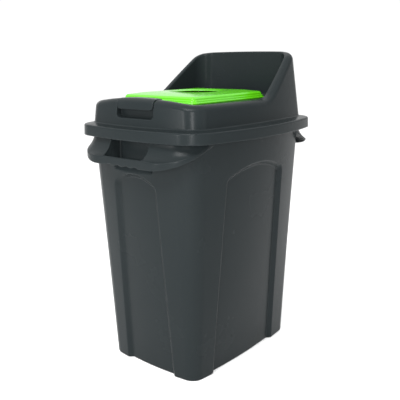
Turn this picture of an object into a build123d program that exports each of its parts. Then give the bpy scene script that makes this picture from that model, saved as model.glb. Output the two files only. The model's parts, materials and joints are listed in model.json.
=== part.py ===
from build123d import *
import math
import os

# Dog waste bin: a tapered moulded tub with a carrying handle under the rim at each end, and a hinged
# hooded lid with a green aperture plate and a latch flap.
# +Z is up, the front (latch) faces -Y, the hinge is at +Y. The origin is on the floor, under the middle.

# ---- driving dimensions (mm) ----
WALL = 3.5
CLEAR = 0.4

BASE_WIDTH, BASE_LENGTH = 272.0, 374.0
BASE_SIDE_BOW, BASE_END_BOW, BASE_CORNER = 11.1, 10.7, 31.5
RIM_Z = 536.0
RIM_WIDTH, RIM_LENGTH = 354.0, 452.0
RIM_SIDE_BOW, RIM_END_BOW, RIM_CORNER = 34.0, 23.0, 74.0
FLOOR_THICKNESS = 4.0
FLANGE_GROW = 16.0
FLANGE_END_GROW = 3.0
FLANGE_THICKNESS = 4.0
BASE_CHAMFER = 3.0

PANEL_DEPTH = 8.8
SIDE_PANEL = dict(bottom=115.0, shoulder_half=101.0, shoulder=441.0, apex=466.0, middle=-6.0)
END_PANEL = dict(bottom=73.0, shoulder_half=60.0, shoulder=428.0, apex=453.0, middle=0.0)
SHOULDER_RADIUS = 20.0
PANEL_RUNOUT_Z = -20.0

HANDLE_HALF_WIDTH = 158.0
REAR_HANDLE_HALF_WIDTH = 165.0
HANDLE_FRONT = 249.0
HANDLE_CORNER = 85.0
REAR_HANDLE_CORNER = 75.0
HANDLE_TOP_Z = 534.0
HANDLE_RIDGE_Z = 489.0
HANDLE_LOW_Z = 470.0
HANDLE_LOW_SLOPE = 0.45
COVE_RADIUS = 50.0
COVE_START = 0.6
COVE_LEVELS = (488.9, 492.0, 497.0, 503.0, 510.0, 518.0, 527.0, HANDLE_TOP_Z)
GRIP_HALF_WIDTH = 56.0
POCKET_BACK = 197.0
POCKET_FRONT = 247.0
POCKET_LOW_Z = 474.0
POCKET_LIP_Y, POCKET_LIP_Z = 220.0, 456.0
FINGER_PITCH = 25.0
FINGER_RADIUS = 14.0
FINGER_GROOVES = 4
FINGER_BITE = 3.4

SKIRT_LOW_Z = 522.0
SHELF_Z = 545.0
LID_LEVELS = [
    (SKIRT_LOW_Z, 401.0, 471.0, 33.8, 20.0, 73.0),
    (542.5, 399.6, 469.6, 33.8, 20.0, 73.0),
    (SHELF_Z, 395.0, 465.0, 33.5, 19.9, 71.0),
    (548.6, 345.2, 424.8, 20.7, 18.7, 46.0),
    (704.0, 314.0, 393.0, 18.0, 15.0, 56.0),
]
DECK_Z = 592.0
HOOD_LEVELS = [
    (DECK_Z, 296.0, 376.0, 16.0, 14.4, 40.0),
    (712.0, 278.0, 356.0, 14.5, 12.5, 44.0),
]
LID_RIM_Z = 595.0
LID_TOP_Z = 699.0
RAMP_START_Y, RAMP_END_Y, RAMP_END_Z = 35.5, 157.0, 692.0
RAMP_RADII = (60.0, 80.0)
CROWN_HALF_WIDTH, CROWN_SIDE_Z = 210.0, 681.0
FRONT_CROWN_HALF_WIDTH, FRONT_CROWN_BACK = 135.0, -170.0
BEYOND = 250.0

PLATE_Y = -17.5
PLATE_WIDTH, PLATE_LENGTH, PLATE_CORNER = 218.0, 261.0, 16.0
PLATE_BOW = 1.5
PLATE_STEP_HEIGHT, PLATE_STEP_INSET, PLATE_STEPS = 4.0, 3.2, 3
PLATE_TOP_Z = 607.0
PLATE_CROWN_Z, PLATE_CROWN_INSET, PLATE_CROWN_CORNER = 611.0, 27.0, 30.0
PLATE_WALL = 3.0
HOLE_RADIUS = 51.0
DISH_RADIUS = 63.5
DISH_DEPTH = 4.0
LIP_DEPTH = 3.0
HOLE_Y = 9.5

FLAP_HALF_WIDTH = 52.0
FLAP_LOW_Z = 583.0
FLAP_THICKNESS = 3.0
FLAP_TOP_Z = 605.5
FLAP_BACK = -178.0
FLAP_PIVOT = (-199.0, 595.0)
LATCH_PIN_RADIUS = 2.0
LUG_RADIUS = 4.4
POCKET_FLOOR_Z = 565.0
FINGER_POCKET_BACK = -193.0
POCKET_WALL = 2.5
LUG_X, LUG_THICKNESS = 40.0, 4.0
OPENING_TOP_Z = 640.0
HOOK_SLOT = (-190.0, -174.5)
HOOK_HALF_WIDTH = 9.0
HOOK_TIP_Z = 533.0
SPRING_RADIUS, SPRING_BORE, SPRING_X = 3.4, 2.4, (16.0, 28.0)
KEEPER_THICKNESS = 2.0
KEEPER_HALF_WIDTH, KEEPER_FRONT, KEEPER_BACK = 24.0, -218.0, -166.0
KEEPER_SCREWS = [(-14.0, -209.0), (14.0, -209.0)]
KEEPER_SCREW_RADIUS = 1.85

BAG_RING_Z = 520.0
BAG_RING_HALF_WIDTH, BAG_RING_HALF_LENGTH, BAG_RING_CORNER = 154.0, 160.0, 45.0
BAG_RING_WIRE = 2.5
CLIP_Y, CLIP_HALF_WIDTH, CLIP_REACH = 75.0, 8.0, 7.0
CLIP_LOW_Z, CLIP_HIGH_Z = 511.0, 527.0

BUFFER_PLACES = [(x, y) for x in (-180.5, 180.5) for y in (-80.0, 80.0)]
BUFFER_RADIUS = 6.0
BUFFER_TOP_Z = 541.5
BUFFER_GAP = 0.3
PLATE_SCREW_PLACES = [(x, PLATE_Y + y) for x in (-84.0, 84.0) for y in (-96.0, 96.0)]
PLATE_SCREW_RADIUS = 1.9
PLATE_BOSS_RADIUS = 4.5
SCREW_HEAD_RADIUS, SCREW_HEAD_HEIGHT = 3.6, 2.2

HINGE_AXIS = (240.0, 528.0)
HINGE_X = 87.0
HINGE_PIN_RADIUS = 2.5
KNUCKLE_RADIUS = 6.5
KNUCKLE_HALF_WIDTH = 9.6
EAR_THICKNESS = 5.0
EAR_ROOT_Y, EAR_TOP_Y = 213.5, 229.0
ARM_ROOT_Y, ARM_LOW_Z, ARM_HIGH_Z = 227.4, 537.0, 544.0
PIN_HEAD_RADIUS, PIN_HEAD_THICKNESS = 4.5, 2.6


# ---- shared shapes ----
def bowed_outline(width, length, side_bow, end_bow, corner):
    """A rounded rectangle whose four sides bow outwards."""
    corner_x = width / 2 - side_bow
    corner_y = length / 2 - end_bow
    with BuildSketch() as outline:
        with BuildLine():
            ThreePointArc((-corner_x, -corner_y), (0, -length / 2), (corner_x, -corner_y))
            ThreePointArc((corner_x, -corner_y), (width / 2, 0), (corner_x, corner_y))
            ThreePointArc((corner_x, corner_y), (0, length / 2), (-corner_x, corner_y))
            ThreePointArc((-corner_x, corner_y), (-width / 2, 0), (-corner_x, -corner_y))
        make_face()
        fillet(outline.vertices(), corner)
    return outline.sketch


def stack(levels):
    """A solid through bowed outlines, one per (z, width, length, side_bow, end_bow, corner) level."""
    with BuildPart() as body:
        for z, *sizes in levels:
            with BuildSketch(Plane.XY.offset(z)):
                add(bowed_outline(*sizes))
        loft(ruled=True)
    return body.part


def grown(level, side_gap, end_gap=None, lift=0.0):
    """The level moved outwards (or inwards, if negative) and up."""
    z, width, length, side_bow, end_bow, corner = level
    if end_gap is None:
        end_gap = side_gap
    corner_gap = min(side_gap, end_gap)
    return (z + lift, width + 2 * side_gap, length + 2 * end_gap, side_bow, end_bow, corner + corner_gap)


def tub_level(z, gap=0.0):
    """The tub's outer outline at height z, moved outwards by gap."""
    t = z / RIM_Z
    base = (BASE_WIDTH, BASE_LENGTH, BASE_SIDE_BOW, BASE_END_BOW, BASE_CORNER)
    rim = (RIM_WIDTH, RIM_LENGTH, RIM_SIDE_BOW, RIM_END_BOW, RIM_CORNER)
    sizes = [low + (high - low) * t for low, high in zip(base, rim)]
    return grown((z, *sizes), gap)


def arch_profile(panel, grow):
    """The outline of a recessed panel: sides that narrow upwards to an arched top."""
    bottom = panel["bottom"] + grow
    side = panel["shoulder_half"] + grow
    shoulder = panel["shoulder"] + grow
    with BuildSketch() as profile:
        with BuildLine():
            Line((-bottom, PANEL_RUNOUT_Z), (-side, shoulder))
            ThreePointArc((-side, shoulder), (0, panel["apex"] + grow), (side, shoulder))
            Line((side, shoulder), (bottom, PANEL_RUNOUT_Z))
            Line((bottom, PANEL_RUNOUT_Z), (-bottom, PANEL_RUNOUT_Z))
        make_face()
        fillet(profile.vertices().sort_by(Axis.Y)[-2:], SHOULDER_RADIUS)
    return profile.sketch


def panel_tool(panel, face, grow, reach):
    """A tapered block that sinks an arched panel into the tub's wall on the given face plane."""
    outside = 4.0
    with BuildPart() as tool:
        for depth in (-outside, reach):
            with BuildSketch(face.offset(-depth)):
                with Locations((panel["middle"], 0)):
                    add(arch_profile(panel, grow - depth))
        loft()
    return tool.part


SIDE_DRAFT = math.atan((RIM_WIDTH - BASE_WIDTH) / 2 / RIM_Z)
END_DRAFT = math.atan((RIM_LENGTH - BASE_LENGTH) / 2 / RIM_Z)
SIDE_FACE = Plane(
    origin=(BASE_WIDTH / 2, 0, 0), x_dir=(0, 1, 0), z_dir=(math.cos(SIDE_DRAFT), 0, -math.sin(SIDE_DRAFT))
)
FRONT_FACE = Plane(
    origin=(0, -BASE_LENGTH / 2, 0), x_dir=(1, 0, 0), z_dir=(0, -math.cos(END_DRAFT), -math.sin(END_DRAFT))
)


def panel_recesses(grow, depth):
    """The four arched recesses, limited to the given depth under the tub's surface."""
    reach = depth + max(SIDE_PANEL["middle"], BASE_SIDE_BOW)
    side_tool = panel_tool(SIDE_PANEL, SIDE_FACE, grow, reach)
    end_tool = panel_tool(END_PANEL, FRONT_FACE, grow, reach)
    with BuildPart() as recesses:
        add(side_tool)
        add(end_tool)
        mirror(side_tool, about=Plane.YZ)
        mirror(end_tool, about=Plane.XZ)
        add(stack([tub_level(PANEL_RUNOUT_Z - 10, -depth), tub_level(RIM_Z, -depth)]), mode=Mode.SUBTRACT)
    return recesses.part


# ---- tub ----
def cove_offset(z):
    """How far the handle's apron stands out from the tub at height z: a concave arc."""
    drop = HANDLE_TOP_Z - z
    return COVE_START + COVE_RADIUS - math.sqrt(COVE_RADIUS**2 - drop**2)


def handle_block(inset, half_width, corner):
    """A handle's outer form: an apron that flares out to a ridge, over an upright band."""
    low = HANDLE_LOW_Z - 30
    far_out = 70
    coves = [tub_level(z, cove_offset(z) - inset) for z in COVE_LEVELS]
    below = [tub_level(low, far_out), tub_level(COVE_LEVELS[0] - 0.1, far_out)]
    block_length = HANDLE_FRONT - 40
    with BuildPart() as handle:
        with BuildSketch(Plane.XY.offset(low)):
            with Locations((0, -HANDLE_FRONT + (block_length + inset) / 2)):
                Rectangle(2 * (half_width - inset), block_length - inset)
            fillet(vertices().sort_by(Axis.Y)[:2], corner - inset)
        extrude(amount=HANDLE_TOP_Z - low)
        with BuildPart(mode=Mode.PRIVATE) as apron:
            add(stack(coves))
            add(stack(below))
        add(apron.part, mode=Mode.INTERSECT)
    return handle.part


def handle_underside():
    """The sloping region below the handle's open bottom edge, with the finger grooves in its front."""
    front, back, floor_z = -HANDLE_FRONT - 10, -60.0, 300.0
    front_z, back_z = [HANDLE_LOW_Z + HANDLE_LOW_SLOPE * (HANDLE_FRONT + y) for y in (front, back)]
    with BuildPart() as below:
        with BuildSketch(Plane.YZ):
            with BuildLine():
                Polyline((front, front_z), (back, back_z), (back, floor_z), (front, floor_z), close=True)
            make_face()
        extrude(amount=REAR_HANDLE_HALF_WIDTH + 10, both=True)
        with BuildSketch(Plane.XZ.offset(HANDLE_FRONT - 12)):
            with Locations((0, HANDLE_LOW_Z - FINGER_RADIUS + FINGER_BITE)):
                with GridLocations(FINGER_PITCH, 1, FINGER_GROOVES, 1):
                    Circle(FINGER_RADIUS)
        extrude(amount=30)
    return below.part


def end_handle(half_width, corner):
    """A handle at the front end: a hollow scoop that is open below, with a hand window in its apron."""
    tub_block = stack([tub_level(400), tub_level(RIM_Z)])
    with BuildPart() as handle:
        add(handle_block(0, half_width, corner))
        add(handle_underside(), mode=Mode.SUBTRACT)
        with BuildPart(mode=Mode.PRIVATE) as hollow:
            add(handle_block(WALL, half_width, corner))
            add(tub_block, mode=Mode.SUBTRACT)
            for side in (-1, 1):
                with Locations((side * (GRIP_HALF_WIDTH + WALL / 2), -HANDLE_FRONT, HANDLE_RIDGE_Z)):
                    Box(WALL, 120, 120, mode=Mode.SUBTRACT)
        add(hollow.part, mode=Mode.SUBTRACT)
        with Locations((0, -HANDLE_FRONT, (HANDLE_RIDGE_Z + SKIRT_LOW_Z) / 2 + 1)):
            Box(2 * GRIP_HALF_WIDTH, 2 * (HANDLE_FRONT - POCKET_BACK), SKIRT_LOW_Z - HANDLE_RIDGE_Z + 2,
                mode=Mode.SUBTRACT)
    return handle.part


def pocket_block(gap):
    """The hand pocket that sinks into the tub's wall behind the grip; gap makes it larger all round."""
    half_width = GRIP_HALF_WIDTH + gap
    back = -POCKET_BACK + gap
    top = RIM_Z - FLANGE_THICKNESS + 2 * gap
    front = -POCKET_FRONT
    lip_z = POCKET_LIP_Z - gap
    with BuildPart() as pocket:
        with BuildSketch(Plane.YZ):
            with BuildLine():
                Polyline(
                    (back, top),
                    (back, POCKET_LOW_Z),
                    (-POCKET_LIP_Y, lip_z),
                    (front, lip_z),
                    (front, top),
                    close=True,
                )
            make_face()
        extrude(amount=half_width, both=True)
    return pocket.part


def hinge_ears():
    """Four ears on the tub's rear rim, two for each hinge pin."""
    axis_y, axis_z = HINGE_AXIS
    ear_x = KNUCKLE_HALF_WIDTH + CLEAR + EAR_THICKNESS / 2
    with BuildPart() as ears:
        for hinge_x in (-HINGE_X, HINGE_X):
            for side in (-1, 1):
                start_x = hinge_x + side * ear_x - EAR_THICKNESS / 2
                with BuildSketch(Plane.YZ.offset(start_x)):
                    with BuildLine():
                        Polyline(
                            (EAR_ROOT_Y, RIM_Z - 1),
                            (EAR_ROOT_Y, axis_z - KNUCKLE_RADIUS),
                            (axis_y, axis_z - KNUCKLE_RADIUS),
                            (axis_y, axis_z + KNUCKLE_RADIUS),
                            (EAR_TOP_Y, RIM_Z - 1),
                            close=True,
                        )
                    make_face()
                    with Locations((axis_y, axis_z)):
                        Circle(KNUCKLE_RADIUS)
                        Circle(HINGE_PIN_RADIUS + 0.05, mode=Mode.SUBTRACT)
                extrude(amount=EAR_THICKNESS)
    return ears.part


def make_bin_body():
    """The tub moulding: tapered walls, corner posts, sunk panels, rim flange and both handles."""
    rim = tub_level(RIM_Z)
    flange_low = grown(rim, FLANGE_GROW, FLANGE_END_GROW, -FLANGE_THICKNESS)
    front_handle = end_handle(HANDLE_HALF_WIDTH, HANDLE_CORNER)
    rear_handle = end_handle(REAR_HANDLE_HALF_WIDTH, REAR_HANDLE_CORNER)
    pocket = pocket_block(WALL)
    with BuildPart() as cavity:
        add(stack([tub_level(FLOOR_THICKNESS, -WALL), tub_level(RIM_Z + 1, -WALL)]))
        add(panel_recesses(WALL * 1.4, PANEL_DEPTH + WALL), mode=Mode.SUBTRACT)
        add(pocket, mode=Mode.SUBTRACT)
        mirror(pocket, about=Plane.XZ, mode=Mode.SUBTRACT)
    with BuildPart() as sunk_pocket:
        add(pocket_block(0))
        add(stack([tub_level(400, 0.01), tub_level(RIM_Z, 0.01)]), mode=Mode.INTERSECT)
    with BuildPart() as tub:
        add(stack([tub_level(0), rim]))
        chamfer(tub.faces().sort_by(Axis.Z)[0].edges(), BASE_CHAMFER)
        add(stack([flange_low, grown(flange_low, 0, 0, FLANGE_THICKNESS)]))
        add(front_handle)
        mirror(rear_handle, about=Plane.XZ)
        add(panel_recesses(0, PANEL_DEPTH), mode=Mode.SUBTRACT)
        add(cavity.part, mode=Mode.SUBTRACT)
        add(sunk_pocket.part, mode=Mode.SUBTRACT)
        mirror(sunk_pocket.part, about=Plane.XZ, mode=Mode.SUBTRACT)
        add(hinge_ears())
        with Locations(*[(x, y, RIM_Z) for x, y in KEEPER_SCREWS]):
            Hole(KEEPER_SCREW_RADIUS + 0.05, depth=FLANGE_THICKNESS - 0.4)
    return tub.part


# ---- lid ----
def lid_side_profile(drop):
    """Everything below the lid's top line, seen from the side: a low rim, then the hood's long ramp."""
    with BuildPart() as below:
        with BuildSketch(Plane.YZ):
            with BuildLine():
                top_line = FilletPolyline(
                    (-BEYOND, LID_RIM_Z - drop),
                    (RAMP_START_Y, LID_RIM_Z - drop),
                    (RAMP_END_Y + 0.4 * drop, RAMP_END_Z - drop),
                    (BEYOND, LID_TOP_Z + 6 - drop),
                    radius=RAMP_RADII,
                )
                Polyline(top_line @ 1, (BEYOND, 400), (-BEYOND, 400), top_line @ 0)
            make_face()
        extrude(amount=CROWN_HALF_WIDTH, both=True)
    return below.part


def crown_profile(half_width, side_z, middle_z, front, back):
    """Everything below an arc that crowns from side_z up to middle_z, from front to back."""
    with BuildPart() as below:
        with BuildSketch(Plane.XZ.offset(-back)):
            with BuildLine():
                arc = ThreePointArc((-half_width, side_z), (0, middle_z), (half_width, side_z))
                Polyline(arc @ 1, (half_width, 400), (-half_width, 400), arc @ 0)
            make_face()
        extrude(amount=back - front)
    return below.part


def lid_form(levels, drop):
    """The lid's solid form: skirt, shelf, drafted walls, ramp and crowned top, all lowered by drop."""
    with BuildPart() as envelope:
        add(lid_side_profile(drop))
        add(crown_profile(CROWN_HALF_WIDTH, CROWN_SIDE_Z - drop, LID_TOP_Z - drop, -BEYOND, BEYOND),
            mode=Mode.INTERSECT)
        add(crown_profile(FRONT_CROWN_HALF_WIDTH, LID_RIM_Z - 1 - drop, FLAP_TOP_Z - drop, -BEYOND,
                          FRONT_CROWN_BACK))
    with BuildPart() as form:
        add(stack(levels))
        add(envelope.part, mode=Mode.INTERSECT)
    return form.part


def box_between(low, high):
    """An upright block from its lowest to its highest corner."""
    size = [b - a for a, b in zip(low, high)]
    with BuildPart() as block:
        with Locations(low):
            Box(*size, align=Align.MIN)
    return block.part


def latch_opening():
    """The front finger pocket and the slot over the rim that the latch flap fills."""
    half = FLAP_HALF_WIDTH + CLEAR
    with BuildPart() as opening:
        add(box_between((-half, -BEYOND, POCKET_FLOOR_Z), (half, FINGER_POCKET_BACK, OPENING_TOP_Z)))
        add(box_between((-half, FINGER_POCKET_BACK - 1, DECK_Z + 2), (half, FLAP_BACK + 4, OPENING_TOP_Z)))
        add(box_between((-HOOK_HALF_WIDTH - 1, HOOK_SLOT[0], DECK_Z - 10),
                        (HOOK_HALF_WIDTH + 1, HOOK_SLOT[1], OPENING_TOP_Z)))
    return opening.part


def latch_housing():
    """The solid region left inside the lid around the latch opening, one pocket wall thick."""
    half = FLAP_HALF_WIDTH + CLEAR + POCKET_WALL
    back = FINGER_POCKET_BACK + POCKET_WALL
    with BuildPart() as housing:
        add(box_between((-half, -BEYOND, POCKET_FLOOR_Z - POCKET_WALL), (half, back, OPENING_TOP_Z)))
        add(box_between((-half, back - 1, DECK_Z - 0.5), (half, FLAP_BACK, OPENING_TOP_Z)))
    return housing.part


def lid_knuckles():
    """The lid's hinge knuckles, one between each pair of ears, on arms from the skirt."""
    axis_y, axis_z = HINGE_AXIS
    with BuildPart() as knuckles:
        for hinge_x in (-HINGE_X, HINGE_X):
            with BuildSketch(Plane.YZ.offset(hinge_x)):
                with BuildLine():
                    Polyline(
                        (ARM_ROOT_Y, ARM_LOW_Z),
                        (ARM_ROOT_Y, ARM_HIGH_Z),
                        (axis_y, ARM_HIGH_Z - 2),
                        (axis_y + KNUCKLE_RADIUS, axis_z),
                        (axis_y - 4, axis_z + 3),
                        close=True,
                    )
                make_face()
                with Locations((axis_y, axis_z)):
                    Circle(KNUCKLE_RADIUS)
                    Circle(HINGE_PIN_RADIUS + 0.05, mode=Mode.SUBTRACT)
            extrude(amount=KNUCKLE_HALF_WIDTH, both=True)
    return knuckles.part


def make_lid_shell():
    """The lid moulding: skirt, shelf, raised wall, deck and hood, hollow underneath."""
    skirt, skirt_top, shelf, wall_foot, wall_top = LID_LEVELS
    inner_levels = [
        grown(skirt, -WALL, -WALL, -1),
        grown(skirt_top, -WALL, -WALL, -1),
        grown(wall_foot, -WALL, -WALL, -WALL),
        grown(wall_top, -WALL),
    ]
    deck_slab = grown(HOOD_LEVELS[0], WALL, WALL, -WALL)
    with BuildPart() as hollow:
        add(lid_form(inner_levels, WALL))
        add(stack([deck_slab, grown(HOOD_LEVELS[1], WALL)]), mode=Mode.SUBTRACT)
        add(latch_housing(), mode=Mode.SUBTRACT)
    with BuildPart() as lid:
        add(lid_form(LID_LEVELS, 0))
        add(stack(HOOD_LEVELS), mode=Mode.SUBTRACT)
        add(hollow.part, mode=Mode.SUBTRACT)
        add(latch_opening(), mode=Mode.SUBTRACT)
        for hinge_x in (-HINGE_X, HINGE_X):
            notch = KNUCKLE_HALF_WIDTH + EAR_THICKNESS + 2 * CLEAR
            add(box_between((hinge_x - notch, 222, 500), (hinge_x + notch, BEYOND, ARM_LOW_Z)),
                mode=Mode.SUBTRACT)
        with Locations((0, PLATE_Y, DECK_Z)):
            Box(PLATE_WIDTH - 70, PLATE_LENGTH - 70, 40, mode=Mode.SUBTRACT)
        with Locations(*[(x, y, BUFFER_TOP_Z) for x, y in BUFFER_PLACES]):
            Cylinder(BUFFER_RADIUS, SHELF_Z - 0.1 - BUFFER_TOP_Z,
                     align=(Align.CENTER, Align.CENTER, Align.MIN))
        with Locations(*[(x, y, DECK_Z) for x, y in PLATE_SCREW_PLACES]):
            Cylinder(PLATE_SCREW_RADIUS + 0.1, 20, mode=Mode.SUBTRACT)
        with Locations(Location((0, *FLAP_PIVOT), (0, 90, 0))):
            Cylinder(LATCH_PIN_RADIUS + 0.05, 2 * FLAP_HALF_WIDTH + 7, mode=Mode.SUBTRACT)
        add(lid_knuckles())
    return lid.part


# ---- aperture plate ----
def plate_levels(inset, drop):
    """Stepped sides, each step a near-upright band and a narrow ledge, up to a gently crowned top."""
    levels = []
    width, length, corner = PLATE_WIDTH - 2 * inset, PLATE_LENGTH - 2 * inset, PLATE_CORNER - inset
    for step in range(PLATE_STEPS):
        gone = 2 * PLATE_STEP_INSET * step
        lean = gone + 1.6
        z = DECK_Z + PLATE_STEP_HEIGHT * step - drop
        levels.append((z, width - gone, length - gone, PLATE_BOW, PLATE_BOW, corner))
        levels.append((z + PLATE_STEP_HEIGHT - 0.4, width - lean, length - lean, PLATE_BOW, PLATE_BOW, corner))
    gone = 2 * PLATE_STEP_INSET * PLATE_STEPS + 3
    levels.append((PLATE_TOP_Z - drop, width - gone, length - gone, PLATE_BOW, PLATE_BOW, corner))
    gone = gone + 2 * PLATE_CROWN_INSET
    levels.append((PLATE_CROWN_Z - drop, width - gone, length - gone, PLATE_BOW, PLATE_BOW, PLATE_CROWN_CORNER))
    return levels


def make_aperture_plate():
    """The green plate: a stepped shallow tray turned upside down, with a dished round hole."""
    with BuildPart() as plate:
        add(stack(plate_levels(0, 0)))
        add(stack(plate_levels(PLATE_WALL, PLATE_WALL)), mode=Mode.SUBTRACT)
        with Locations((0, HOLE_Y, PLATE_CROWN_Z - DISH_DEPTH / 2)):
            Cone(HOLE_RADIUS + PLATE_WALL, DISH_RADIUS + PLATE_WALL, DISH_DEPTH)
            Cone(HOLE_RADIUS, DISH_RADIUS, DISH_DEPTH + 0.02, mode=Mode.SUBTRACT)
        with Locations((0, HOLE_Y, PLATE_CROWN_Z - DISH_DEPTH)):
            Cylinder(HOLE_RADIUS + PLATE_WALL, LIP_DEPTH, align=(Align.CENTER, Align.CENTER, Align.MAX))
            Cylinder(HOLE_RADIUS, 3 * LIP_DEPTH, mode=Mode.SUBTRACT)
        with Locations(*[(x, y - PLATE_Y, DECK_Z) for x, y in PLATE_SCREW_PLACES]):
            Cylinder(PLATE_BOSS_RADIUS, PLATE_TOP_Z - DECK_Z - 1.5,
                     align=(Align.CENTER, Align.CENTER, Align.MIN))
            Cylinder(PLATE_SCREW_RADIUS + 0.05, 20, mode=Mode.SUBTRACT)
    return plate.part.moved(Location((0, PLATE_Y, 0)))


# ---- latch ----
def make_latch_flap():
    """The flap: it wraps over the lid's front rim, turns on two lugs and carries the hook arm."""
    pivot_y, pivot_z = FLAP_PIVOT
    front_low, front_high = -208.6, -206.9
    with BuildPart() as flap:
        with BuildSketch(Plane.YZ):
            with BuildLine():
                FilletPolyline(
                    (front_low, FLAP_LOW_Z),
                    (front_high, FLAP_TOP_Z - 0.4),
                    (FLAP_BACK, FLAP_TOP_Z),
                    (FLAP_BACK, DECK_Z + 4),
                    radius=(9.0, 4.0),
                )
                FilletPolyline(
                    (FLAP_BACK, DECK_Z + 4),
                    (FLAP_BACK - FLAP_THICKNESS, DECK_Z + 4),
                    (FLAP_BACK - FLAP_THICKNESS, FLAP_TOP_Z - FLAP_THICKNESS),
                    (front_high + FLAP_THICKNESS, FLAP_TOP_Z - FLAP_THICKNESS - 0.3),
                    (front_low + FLAP_THICKNESS, FLAP_LOW_Z),
                    (front_low, FLAP_LOW_Z),
                    radius=(0.5, 1.5, 6.0, 0.5),
                )
            make_face()
        extrude(amount=FLAP_HALF_WIDTH, both=True)
        for lug_x in (-LUG_X, LUG_X):
            with BuildSketch(Plane.YZ.offset(lug_x - LUG_THICKNESS / 2)):
                with Locations((pivot_y, pivot_z)):
                    Circle(LUG_RADIUS)
                with Locations((pivot_y, pivot_z + 4)):
                    Rectangle(2 * LUG_RADIUS, 8)
                with Locations((pivot_y, pivot_z)):
                    Circle(LATCH_PIN_RADIUS + 0.05, mode=Mode.SUBTRACT)
            extrude(amount=LUG_THICKNESS)
        with BuildSketch(Plane.YZ):
            with BuildLine():
                Polyline(
                    (FLAP_BACK + 1, DECK_Z + 8),
                    (FLAP_BACK - FLAP_THICKNESS, DECK_Z + 8),
                    (FLAP_BACK - FLAP_THICKNESS, HOOK_TIP_Z + 1),
                    (FLAP_BACK, HOOK_TIP_Z),
                    (FLAP_BACK + 3, RIM_Z - 1),
                    (FLAP_BACK + 1, RIM_Z - 0.4),
                    close=True,
                )
            make_face()
        extrude(amount=HOOK_HALF_WIDTH, both=True)
    return flap.part


def make_latch_pin():
    """The steel pin the flap turns on, held in the side walls of the latch opening."""
    with BuildPart() as pin:
        with Locations(Location((0, *FLAP_PIVOT), (0, 90, 0))):
            Cylinder(LATCH_PIN_RADIUS, 2 * FLAP_HALF_WIDTH + 5)
    return pin.part


def make_latch_spring():
    """The torsion spring round the pin: a close-wound coil and two legs."""
    pivot_y, pivot_z = FLAP_PIVOT
    with BuildPart() as spring:
        start, end = SPRING_X
        wire = SPRING_RADIUS - SPRING_BORE
        with Locations(Location(((start + end) / 2, pivot_y, pivot_z), (0, 90, 0))):
            Cylinder(SPRING_RADIUS, end - start)
            Cylinder(SPRING_BORE, end - start, mode=Mode.SUBTRACT)
        add(box_between((start, pivot_y + SPRING_BORE, pivot_z - 8),
                        (start + wire, pivot_y + SPRING_RADIUS, pivot_z)))
        add(box_between((end - wire, pivot_y - SPRING_RADIUS, pivot_z - 9),
                        (end, pivot_y - SPRING_BORE, pivot_z)))
    return spring.part


def make_latch_keeper():
    """The steel keeper on the tub's front shelf, with the slot that the hook drops through."""
    with BuildPart() as keeper:
        add(box_between((-KEEPER_HALF_WIDTH, KEEPER_FRONT, RIM_Z),
                        (KEEPER_HALF_WIDTH, KEEPER_BACK, RIM_Z + KEEPER_THICKNESS)))
        fillet(keeper.edges().filter_by(Axis.Z), 4)
        slot_half = HOOK_HALF_WIDTH + 2
        add(box_between((-slot_half, -200, RIM_Z - 1), (slot_half, FLAP_BACK + 3.5, RIM_Z + 5)),
            mode=Mode.SUBTRACT)
        with Locations(*[(x, y, RIM_Z + KEEPER_THICKNESS) for x, y in KEEPER_SCREWS]):
            Hole(KEEPER_SCREW_RADIUS + 0.2)
    return keeper.part


# ---- screws ----
def pan_screw(radius, length):
    """A pan-head screw pointing down from the origin, head above it, with a cross recess."""
    recess_width, recess_depth = 0.7, SCREW_HEAD_HEIGHT * 0.8
    with BuildPart() as screw:
        Cylinder(radius, length, align=(Align.CENTER, Align.CENTER, Align.MAX))
        Cylinder(SCREW_HEAD_RADIUS, SCREW_HEAD_HEIGHT, align=(Align.CENTER, Align.CENTER, Align.MIN))
        fillet(screw.edges().sort_by(Axis.Z)[-1], SCREW_HEAD_HEIGHT * 0.4)
        with Locations((0, 0, SCREW_HEAD_HEIGHT)):
            Box(SCREW_HEAD_RADIUS, recess_width, recess_depth, mode=Mode.SUBTRACT)
            Box(recess_width, SCREW_HEAD_RADIUS, recess_depth, mode=Mode.SUBTRACT)
    return screw.part


def make_keeper_screws():
    """Two pan-head screws that hold the keeper."""
    screw = pan_screw(KEEPER_SCREW_RADIUS, KEEPER_THICKNESS + FLANGE_THICKNESS - 0.5)
    with BuildPart() as screws:
        for x, y in KEEPER_SCREWS:
            add(screw.moved(Location((x, y, RIM_Z + KEEPER_THICKNESS))))
    return screws.part


def make_plate_screws():
    """Four pan-head screws that hold the aperture plate from under the deck."""
    screw = pan_screw(PLATE_SCREW_RADIUS, 12)
    with BuildPart() as screws:
        for x, y in PLATE_SCREW_PLACES:
            add(screw.moved(Location((x, y, DECK_Z - WALL), (180, 0, 0))))
    return screws.part


# ---- hinge pins ----
def make_hinge_pin(hinge_x, outward):
    """A steel hinge pin with its head at the outer end."""
    reach = KNUCKLE_HALF_WIDTH + CLEAR + EAR_THICKNESS
    with BuildPart() as pin:
        with Locations(Location((hinge_x, *HINGE_AXIS), (0, 90, 0))):
            Cylinder(HINGE_PIN_RADIUS, 2 * reach + 6)
        with Locations(Location((hinge_x + outward * (reach + 2), *HINGE_AXIS), (0, 90, 0))):
            Cylinder(PIN_HEAD_RADIUS, PIN_HEAD_THICKNESS)
    return pin.part


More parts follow.
